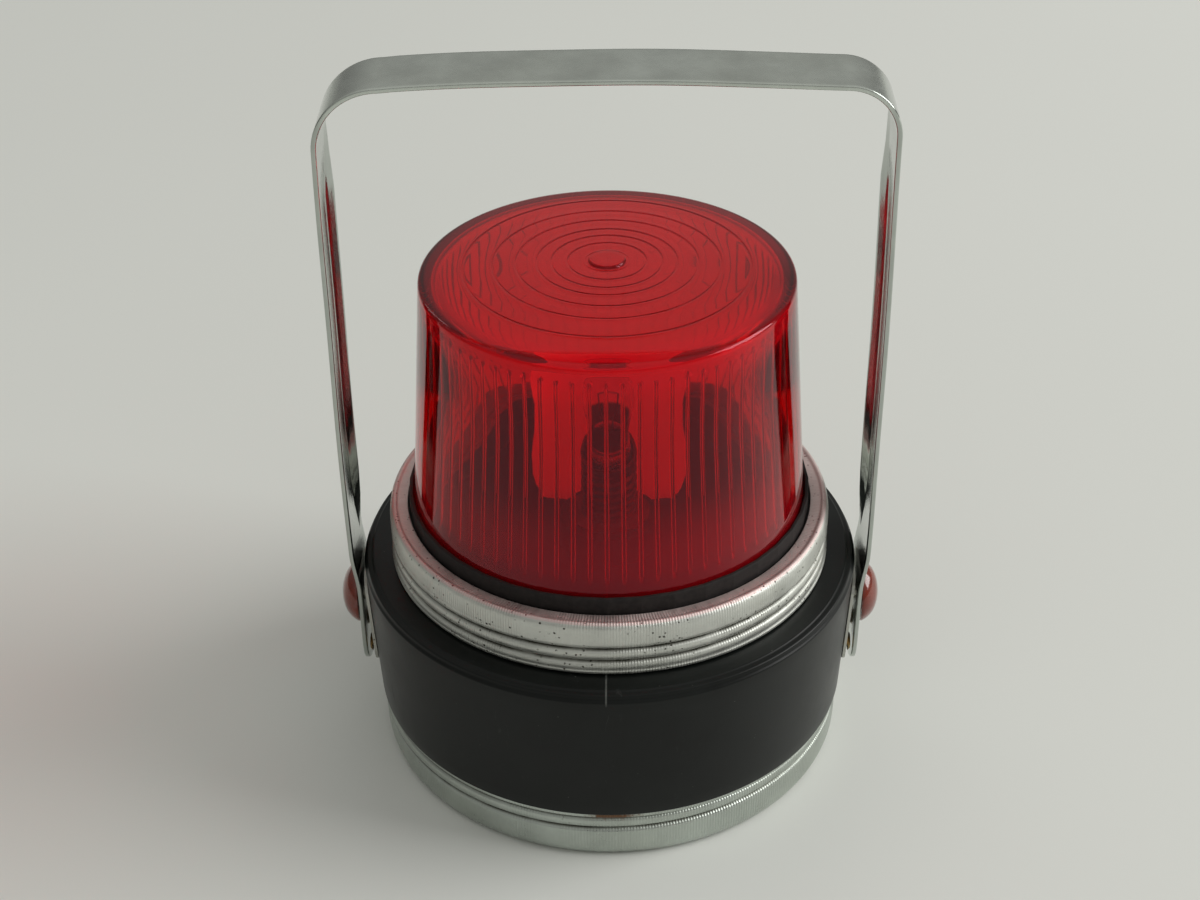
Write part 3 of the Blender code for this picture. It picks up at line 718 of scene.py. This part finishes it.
def build_lens():
    """Smooth outside, with fine rings in its crown. Inside, low beads run down the wall."""
    pitch = TURN / RIB_COUNT
    on_rib = np.array([0.15, 0.45, 0.75, 1.0]) * RIB_HALF_WIDTH
    offsets = [*-on_rib[::-1], *on_rib, 0.3 * pitch, 0.5 * pitch, 0.7 * pitch]
    front = -math.pi / 2
    ribs = front + pitch * np.arange(RIB_COUNT)
    angles = np.sort([(rib_at + off) % TURN for rib_at in ribs for off in offsets])

    def rib(turns, z):
        off = (turns - front + pitch / 2) % pitch - pitch / 2
        bead = np.sqrt(np.clip(1 - (off / RIB_HALF_WIDTH) ** 2, 0, 1))
        return RIB_HEIGHT * bead * ease(z, 60.2, 64.0) * (1 - ease(z, 103.5, 105.0))

    lens = turned("lens_moulding", soften(lens_outside() + lens_inside(rib)), angles)
    place(lens, "lens_unit", LOOKS["red_lens"], "red_lens", "signal_lens")


def build_clamp_ring():
    """Pressed sheet ring: a flat eye in a raised lip, a rounded shoulder and two turns of rolled thread."""
    rim_z, low, high, under_z, flat_z = 45.7, 46.4, 53.2, 56.5, 57.12
    thread = rolled_thread(RING_THREAD_Z, low, high)
    inside = RING_R - SHEET
    rows = [(RING_R + 0.1, rim_z, 0.12), (RING_R + 0.12, 46.2, 0.1)]
    rows += wall(low, high, RING_R, thread)
    rows += [(RING_R, 53.6), (RING_R - 0.05, 55.4, 0.5), (45.95, 56.6, 0.45), (45.35, 57.35, 0.3)]
    rows += [(44.9, 57.42, 0.25), (44.4, flat_z, 0.3), (RING_EYE_R, flat_z, 0.2), (RING_EYE_R, under_z, 0.1)]
    rows += [(44.6, under_z, 0.3), (inside, 55.6, 0.3)]
    rows += wall(high, low, inside, thread, 0.4)
    rows += [(inside + 0.1, rim_z, 0.1)]
    ring = turned("clamp_ring_shell", soften(rows), spaced(300))
    place(ring, "clamp_ring", LOOKS["ring_zinc"], "zinc_plate", "lens_clamp_ring")


# ---------------------------------------------------------------- the drum and its base


def build_drum():
    """The black moulded drum: tapered wall, stepped shoulder, a threaded neck above and below, and a deck.

    Each neck's thread runs out past the neck's open end, so that the ring and the cap can come off.
    """
    upper = rolled_thread(RING_THREAD_Z, 46.0, 56.0)
    lower = rolled_thread(CAP_THREAD_Z, 1.0, 11.2)
    neck = RING_R - SHEET - FIT
    foot_neck = CAP_R - SHEET - FIT
    rows = [(FOOT_BORE_R, 3.0, 0.2), (foot_neck, 3.0, 0.3, lower)]
    rows += wall(3.5, 11.6, foot_neck, lower, 0.4)
    rows += [(foot_neck, BODY_FOOT_Z, 0.15), (BODY_FOOT_R, BODY_FOOT_Z, 0.35)]
    for share in (0.1, 0.3, 0.5, 0.7, 0.9):
        height = BODY_FOOT_Z + share * (BODY_TOP_Z - BODY_FOOT_Z)
        rows.append((taper(height, BODY_FOOT_R, BODY_TOP_R, BODY_FOOT_Z, BODY_TOP_Z), height))
    rows += [(BODY_TOP_R, BODY_TOP_Z, 0.25), (51.95, 43.95, 0.3), (51.75, 44.75, 0.3), (50.75, 44.95, 0.25)]
    rows += [(50.45, 45.2, 0.2), (neck, SHOULDER_Z, 0.2)]
    rows += wall(46.0, 53.2, neck, upper, 0.4)
    rows += [(neck, NECK_TOP_Z, 0.25, upper), (NECK_BORE_R, NECK_TOP_Z, 0.25), (NECK_BORE_R, DECK_Z, 0.3)]
    rows += [(BOSS_R + 0.3, DECK_Z, 0.3), (BOSS_R, BOSS_TOP_Z, 0.5), (BOSS_BORE_R, BOSS_TOP_Z, 0.2)]
    rows += [(BOSS_BORE_R, 46.2, 0.1), (8.6, 45.8, 0.1), (8.6, 43.8, 0.2), (46.0, 43.8, 0.8)]
    rows += [(49.3, 41.0, 0.8), (49.3, 16.0, 0.5), (FOOT_BORE_R, 13.0, 0.5)]
    drum = turned("drum_moulding", soften(rows), spaced(240))
    place(drum, "lamp_body", LOOKS["black_plastic"], "black_plastic", "housing")


def build_base_cap():
    """Spun sheet cap: rolled rim, one turn of thread and a plain skirt."""
    low, high = 6.8, 11.2
    thread = rolled_thread(CAP_THREAD_Z, low + 0.1, 12.6, 0.8)
    inside = CAP_R - SHEET
    rows = [(0, 0), (35.5, 0, 0.4), (36.5, 0.6, 0.4), (38.5, 0.6, 0.4), (39.5, 0, 0.4), (47.4, 0, 0.9)]
    rows += [(49.5, 0.5, 0.9), (CAP_R - 0.05, 2.2, 0.8), (CAP_R, 5.0)]
    rows += wall(low, high, CAP_R, thread)
    rows += [(CAP_R + 0.12, 11.5, 0.15), (CAP_R + 0.08, 12.1, 0.2), (inside + 0.1, 12.1, 0.2)]
    rows += wall(high, low, inside, thread, 0.4)
    rows += [(inside, 2.8, 0.6), (48.7, 1.4, 0.6), (47.2, 0.85, 0.5), (39.9, 0.85, 0.4), (38.9, 1.4, 0.4)]
    rows += [(36.1, 1.4, 0.4), (35.1, 0.85, 0.4), (0, 0.85)]
    cap = turned("base_cap_shell", soften(rows), spaced(300))
    place(cap, "base", LOOKS["cap_zinc"], "zinc_plate", "base_cap")


# ---------------------------------------------------------------- the bail and its pivots


def leg_line(radius):
    """Half of the bail's outer (x, z) line, from a leg's tail up to the crossbar, with z from the pivot."""
    pivot_x, leg_x, top_x = 54.15, 55.1, 53.6
    step_out_z, leg_z = 4.5, 15.5
    line = [(pivot_x, d - TAIL) for d in (0.0, 0.12, 0.45, 1.0, 1.8, 2.9, 4.4, 7.0, 11.0, 16.0, 20.0)]
    for z in np.linspace(step_out_z, leg_z, 9):
        line.append((pivot_x + (leg_x - pivot_x) * ease(z, step_out_z, leg_z), z))
    bend_x, bend_z = top_x - radius, BAIL_RISE - BAIL_SAG - radius
    for share in np.linspace(0.06, 1.0, 14):
        line.append((leg_x - (leg_x - top_x) * share ** 1.6, leg_z + share * (bend_z - leg_z)))
    for a in np.radians(np.linspace(0, 90, 25)[1:]):
        line.append((bend_x + radius * math.cos(a), bend_z + radius * math.sin(a)))
    return line


def leaned(obj):
    """Turns a bail piece about the pivot, as far as the bail leans."""
    pivot = Matrix.Translation((0, 0, PIVOT_Z * MM))
    obj.data.transform(pivot @ Matrix.Rotation(BAIL_LEAN, 4, "X") @ pivot.inverted())
    return obj


def build_bail():
    """One strip of zinc-plated steel, bent by hand: its two corners differ and its top isn't quite flat."""
    left = [(-x, z) for x, z in leg_line(13.0)]
    right = leg_line(10.5)
    crossbar = [(x, BAIL_RISE - BAIL_SAG * (x / 42.0) ** 2) for x in np.linspace(-38, 38, 25)]
    path = left + crossbar + right[::-1]
    half = STRIP_WIDTH / 2
    widths = []
    for _, z in path:
        drop = max(0.0, half - TAIL - z)  # below the centre of the tail's round end
        widths.append(max(1.2, 2 * math.sqrt(max(0.0, half * half - drop * drop))))
    curls = [float(ease(z, 15.0, 25.0) * (1 - ease(z, 96.0, 108.0))) for _, z in path]
    path = [(x + 0.06 * math.sin(z / 9.0), z + PIVOT_Z + 0.05 * math.sin(x / 6.0)) for x, z in path]
    bail = sweep("bail_strip", path, widths, STRIP, curls)
    eye = [(0, 50.0, None), (2.4, 50.0, None), (2.4, 60.0, None), (0, 60.0, None)]
    eyes = [turned("eye_cutter", eye, spaced(32), "X", (0, 0, PIVOT_Z), side) for side in (-1, 1)]
    place(leaned(bored(bail, *eyes)), "bail", LOOKS["strip_zinc"], "zinc_plate", "bail_handle")


def build_domes():
    """Hollow glossy caps over the bail's pivots."""
    face = [(0, 4.0), (1.3, 3.95), (2.6, 3.72), (3.8, 3.32), (4.9, 2.75), (5.8, 1.95), (6.4, 1.2)]
    rim = [(6.75, 0.55), (6.8, 0.25), (6.7, 0.0), (4.3, 0.0)]
    hollow = [(4.2, 1.6), (3.2, 2.4), (0, 2.6)]
    rows = [(radius, DOME_X + rise, None) for radius, rise in face + rim + hollow]
    for side, word in ((-1, "left"), (1, "right")):
        cap = turned(f"dome_{word}", rows, spaced(64), "X", (0, 0, PIVOT_Z), side)
        place(leaned(cap), "bail", LOOKS["orange_plastic"], "orange_plastic", f"pivot_dome_{word}")


def finish_pivots():
    """The plates, screws and rivets that come from the frame as they are."""
    for word in ("left", "right"):
        dress(f"hinge_bracket_{word}", LOOKS["bracket_zinc"], 0.15)
        for part in ("screw", "washer", "nut"):
            dress(f"pivot_{part}_{word}", LOOKS["nickel"], 0.12)
        for end in ("front", "rear"):
            dress(f"bracket_rivet_{word}_{end}", LOOKS["brass"], 0.1)


# ---------------------------------------------------------------- inside the lantern


def reflector_line():
    """The reflector's middle as (y, z): along the deck to the front, round a bend and straight up."""
    upright_y, deck_z, bend_r = 11.6, 46.95, 1.5
    bend_y, bend_z = upright_y + bend_r, deck_z + bend_r
    line = [(y, deck_z) for y in (18.6, 18.4, 17.9, 17.0, 15.6, 14.2, bend_y)]
    for a in np.radians(np.linspace(18, 90, 5)):
        line.append((bend_y - bend_r * math.sin(a), bend_z - bend_r * math.cos(a)))
    heights = (49.0, 49.8, 50.8, 52.0, 53.5, 55.5, 58, 62, 68, 74, 79, 81, 82.6, 83.6, 84.2, 84.6)
    return np.array(line + [(upright_y, z) for z in heights])


def build_reflector():
    """A white enamelled sheet standing behind the bulb and bowed round it, its foot bent back on the deck."""
    line = reflector_line()
    along = np.gradient(line, axis=0)
    along /= np.linalg.norm(along, axis=1)[:, None]
    heights = [46.9, 47.4, 48.4, 49.4, 50.6, 53.0, 57.5, 62.0, 80.0, 82.6, 84.0, 84.7]
    half_widths = [5.2, 5.4, 8.3, 11.4, 13.2, 14.8, 16.2, 16.6, 16.6, 16.1, 14.9, 13.4]
    halves = np.interp(line[:, 1], heights, half_widths)
    halves[1:3] *= (0.92, 0.98)  # the foot's end is rounded
    halves[0] -= 0.9
    columns = np.linspace(-1, 1, 33)
    points = []
    for face in (-0.25, 0.25):
        for (y, z), (dy, dz), half in zip(line, along, halves):
            x = columns * half
            bow = x * x / 48.0 * float(ease(z, 47.3, 52.5))
            points.append(np.stack([x, y - face * dz - bow, z + face * dy + 0 * x], axis=1))
    rear, front = np.arange(2 * len(line) * len(columns)).reshape(2, len(line), len(columns))
    faces = []

    def add_quads(corners, flip):
        quads = np.stack(corners, axis=-1).reshape(-1, 4)
        faces.extend((quads[:, ::-1] if flip else quads).tolist())

    for side, flip in ((rear, False), (front, True)):
        add_quads([side[:-1, :-1], side[1:, :-1], side[1:, 1:], side[:-1, 1:]], flip)
    for edge, other, flip in ((rear[0], front[0], False), (rear[-1], front[-1], True),
                              (rear[:, 0], front[:, 0], True), (rear[:, -1], front[:, -1], False)):
        add_quads([edge[:-1], edge[1:], other[1:], other[:-1]], flip)
    sheet = finish_mesh("reflector_sheet", np.concatenate(points), faces)
    place(sheet, "lamp_body", LOOKS["white_enamel"], "white_enamel", "rear_reflector")


def lamp_thread(low, high):
    """A small rounded lamp thread between two heights."""

    def relief(angles, z):
        wave = 0.5 - 0.5 * np.cos(TURN * (z / LAMP_THREAD_PITCH - angles / TURN))
        return 0.35 * wave * run_out(z, low, high, 0.6)

    return relief


def build_socket():
    """A flanged brass tube with the lamp's thread rolled into it."""
    thread = lamp_thread(54.6, 65.6)
    rows = [(5.5, 45.6, 0.1), (5.5, 53.2, 0.1), (8.6, 53.2, 0.15), (8.6, 53.8, 0.15), (5.85, 54.0, 0.1)]
    rows += wall(54.6, 65.4, 5.85, thread, 0.22)
    rows += [(5.95, 66.4, 0.1), (5.3, 66.4, 0.1)]
    rows += wall(65.4, 54.6, 5.45, thread, 0.3)
    rows += [(5.05, 53.6, 0.1), (5.05, 45.6, 0.1)]
    socket = turned("socket_tube", soften(rows, 2), spaced(64))
    place(socket, "lamp_body", LOOKS["shade_darkened_brass"], "brass", "socket_shell")


def build_bulb():
    """A nickel screw base and a small pear-shaped envelope."""
    rows = [(0, 57.3), (1.2, 57.35, 0.2), (1.9, 58.0, 0.3), (2.6, 58.6, 0.2), (4.3, 59.0, 0.3)]
    rows += wall(59.3, 66.5, 4.72, lamp_thread(59.2, 66.6), 0.22)
    rows += [(4.72, 66.9, 0.2), (4.55, 68.4, 0.2), (0, 68.4)]
    screw_base = turned("bulb_screw_base", soften(rows, 2), spaced(48))
    place(screw_base, "bulb", LOOKS["nickel"], "nickel", "bulb_base")

    inside = [(0, 86.35), (1.6, 86.1, 0.6), (3.2, 85.0, 1.1), (4.7, 82.4, 1.5), (5.15, 78.6, 2.0)]
    inside += [(4.95, 74.5, 1.4), (4.15, 71.5, 1.0), (3.9, 69.8, 0.4), (3.8, 68.7, 0.1)]
    outside = [(4.25, 68.7, 0.2), (4.35, 69.6, 0.4), (4.6, 71.4, 1.0), (5.4, 74.4, 1.4), (5.6, 78.6, 2.0)]
    outside += [(5.1, 82.6, 1.6), (3.5, 85.4, 1.2), (1.7, 86.55, 0.7), (0, 86.8)]
    envelope = turned("bulb_envelope", soften(inside + outside, 3), spaced(56))
    place(envelope, "bulb", LOOKS["glass"], "glass", "bulb_glass")


def build_filament():
    """Two lead wires with a fine coil arched between them."""
    foot_z, tip_x, tip_z = 68.4, 2.1, 79.8
    coil_r, coil_turns, coil_steps = 0.24, 12, 96
    wires = bpy.data.curves.new("bulb_mount", "CURVE")
    wires.dimensions = "3D"
    wires.bevel_depth = 0.16 * MM
    wires.bevel_resolution = 2
    wires.use_fill_caps = True
    lines = []
    for side in (-1, 1):
        wire = ((1.0, foot_z), (1.0, 71.4), (1.9, 73.6), (tip_x, tip_z))
        lines.append([(side * x, 0, z) for x, z in wire])
    coil = []
    for share in np.linspace(0, 1, coil_steps + 1):
        middle_z = tip_z + 0.55 * math.sin(math.pi * share)
        turn = TURN * coil_turns * share
        coil.append((tip_x * (2 * share - 1), coil_r * math.cos(turn), middle_z + coil_r * math.sin(turn)))
    lines.append(coil)
    for line in lines:
        spline = wires.splines.new("POLY")
        spline.points.add(len(line) - 1)
        for point, spot in zip(spline.points, line):
            point.co = (*scaled(spot, MM), 1.0)
            point.radius = 0.45 if line is coil else 1.0
    mount = bpy.data.objects.new("bulb_mount", wires)
    bpy.context.scene.collection.objects.link(mount)
    place(mount, "bulb", LOOKS["tungsten"], "tungsten", "bulb_filament")


def finish_inside():
    """The inner pieces that come from the frame as they are."""
    dress("lens_gasket", LOOKS["rubber"], 0.1)
    dress("socket_insulator", LOOKS["fibre"], 0.2)
    dress("centre_contact", LOOKS["brass"], 0.1)
    dress("cap_liner", LOOKS["fibre"], 0.1)
    dress("battery_case", LOOKS["battery_card"], 0.5)
    for end in ("centre", "shell"):
        dress(f"contact_leaf_{end}", LOOKS["brass"], 0.08)
    for length in ("short", "long"):
        dress(f"battery_strip_{length}", LOOKS["brass"], 0.06)
    for word in ("left", "right"):
        dress(f"battery_spacer_{word}", LOOKS["foam"], 0.5)


# ---------------------------------------------------------------- table, light and camera


def build_table():
    half_m = 4.0
    corners_m = [(-half_m, -half_m, 0), (half_m, -half_m, 0), (half_m, half_m, 0), (-half_m, half_m, 0)]
    mesh = bpy.data.meshes.new("table_top")
    mesh.from_pydata(corners_m, [], [(0, 1, 2, 3)])
    table = bpy.data.objects.new("table_top", mesh)
    bpy.context.scene.collection.objects.link(table)
    mesh.materials.append(table_look("table_top"))


def area_light(name, place_m, target_m, size_m, power, colour):
    lamp = bpy.data.lights.new(name, "AREA")
    lamp.shape = "RECTANGLE"
    lamp.size, lamp.size_y = size_m
    lamp.energy = power
    lamp.color = colour
    obj = bpy.data.objects.new(name, lamp)
    obj.location = place_m
    obj.rotation_euler = (Vector(target_m) - Vector(place_m)).to_track_quat("-Z", "Y").to_euler()
    bpy.context.scene.collection.objects.link(obj)


def light_room():
    """A pale room with a bright ceiling, and daylight from a broad window at the right."""
    world = bpy.data.worlds.new("room")
    world.use_nodes = True
    tree = world.node_tree
    room = tree.nodes["Background"]
    ray = tree.nodes.new("ShaderNodeTexCoord").outputs["Generated"]
    split = tree.nodes.new("ShaderNodeSeparateXYZ")
    tree.links.new(ray, split.inputs[0])

    def ramp(value, low, *stops):
        """Grey levels along a value that runs from low to 1."""
        remap = tree.nodes.new("ShaderNodeMapRange")
        remap.inputs["From Min"].default_value = low
        tree.links.new(value, remap.inputs["Value"])
        made = tree.nodes.new("ShaderNodeValToRGB")
        bands = made.color_ramp.elements
        for k, (at, tone) in enumerate(stops):
            band = bands[k] if k < 2 else bands.new(at)
            band.position = at
            band.color = (tone, tone, 0.985 * tone, 1.0)
        tree.links.new(remap.outputs[0], made.inputs[0])
        return made.outputs[0]

    upward = ramp(split.outputs[2], 0.0, (0.0, 0.14), (1.0, 0.62), (0.45, 0.31), (0.70, 0.43))
    sideways = ramp(split.outputs[0], -1.0, (0.0, 0.85), (1.0, 1.15))
    backward = ramp(split.outputs[1], -1.0, (0.0, 1.30), (1.0, 1.30), (0.5, 0.88))
    colour = upward
    for share in (sideways, backward):
        mix = tree.nodes.new("ShaderNodeMix")
        mix.data_type, mix.blend_type = "RGBA", "MULTIPLY"
        mix.inputs[0].default_value = 1.0
        tree.links.new(colour, mix.inputs[6])
        tree.links.new(share, mix.inputs[7])
        colour = mix.outputs[2]
    tree.links.new(colour, room.inputs["Color"])
    room.inputs["Strength"].default_value = 1.0
    bpy.context.scene.world = world
    area_light("window", place_m=(2.65, 0.10, 1.50), target_m=(0.0, 0.0, 0.05), size_m=(2.1, 1.7),
               power=68.0, colour=(1.0, 1.0, 0.985))


def place_camera():
    """Hand-held: in front, a little above, slightly turned and rolled."""
    distance_m, aim_height_m, off_axis_m = 0.38743, 0.064471, -0.002744
    elevation, roll, turn = math.radians(33.828), math.radians(-0.736), math.radians(1.117)
    ahead = Vector((0, math.cos(elevation), -math.sin(elevation)))
    level = Vector((1, 0, 0))
    tilt = level.cross(ahead)
    right = math.cos(roll) * level + math.sin(roll) * tilt
    up = -math.sin(roll) * level + math.cos(roll) * tilt
    spot = Vector((off_axis_m, 0, aim_height_m)) - distance_m * ahead
    matrix = Matrix([*zip(right, up, -ahead, spot), (0, 0, 0, 1)])
    data = bpy.data.cameras.new("camera")
    data.sensor_width = 36.0
    data.lens = 55.66
    data.shift_x, data.shift_y = 0.00377, 0.00907
    data.clip_start = 0.01
    camera = bpy.data.objects.new("camera", data)
    camera.matrix_world = Matrix.Rotation(turn, 4, "Z") @ matrix
    bpy.context.scene.collection.objects.link(camera)
    bpy.context.scene.camera = camera


place_camera()
light_room()
build_table()
bpy.context.scene.view_settings.view_transform = "Standard"

build_lens()
build_clamp_ring()
build_drum()
build_base_cap()
build_bail()
build_domes()
finish_pivots()
build_reflector()
build_socket()
build_bulb()
build_filament()
finish_inside()
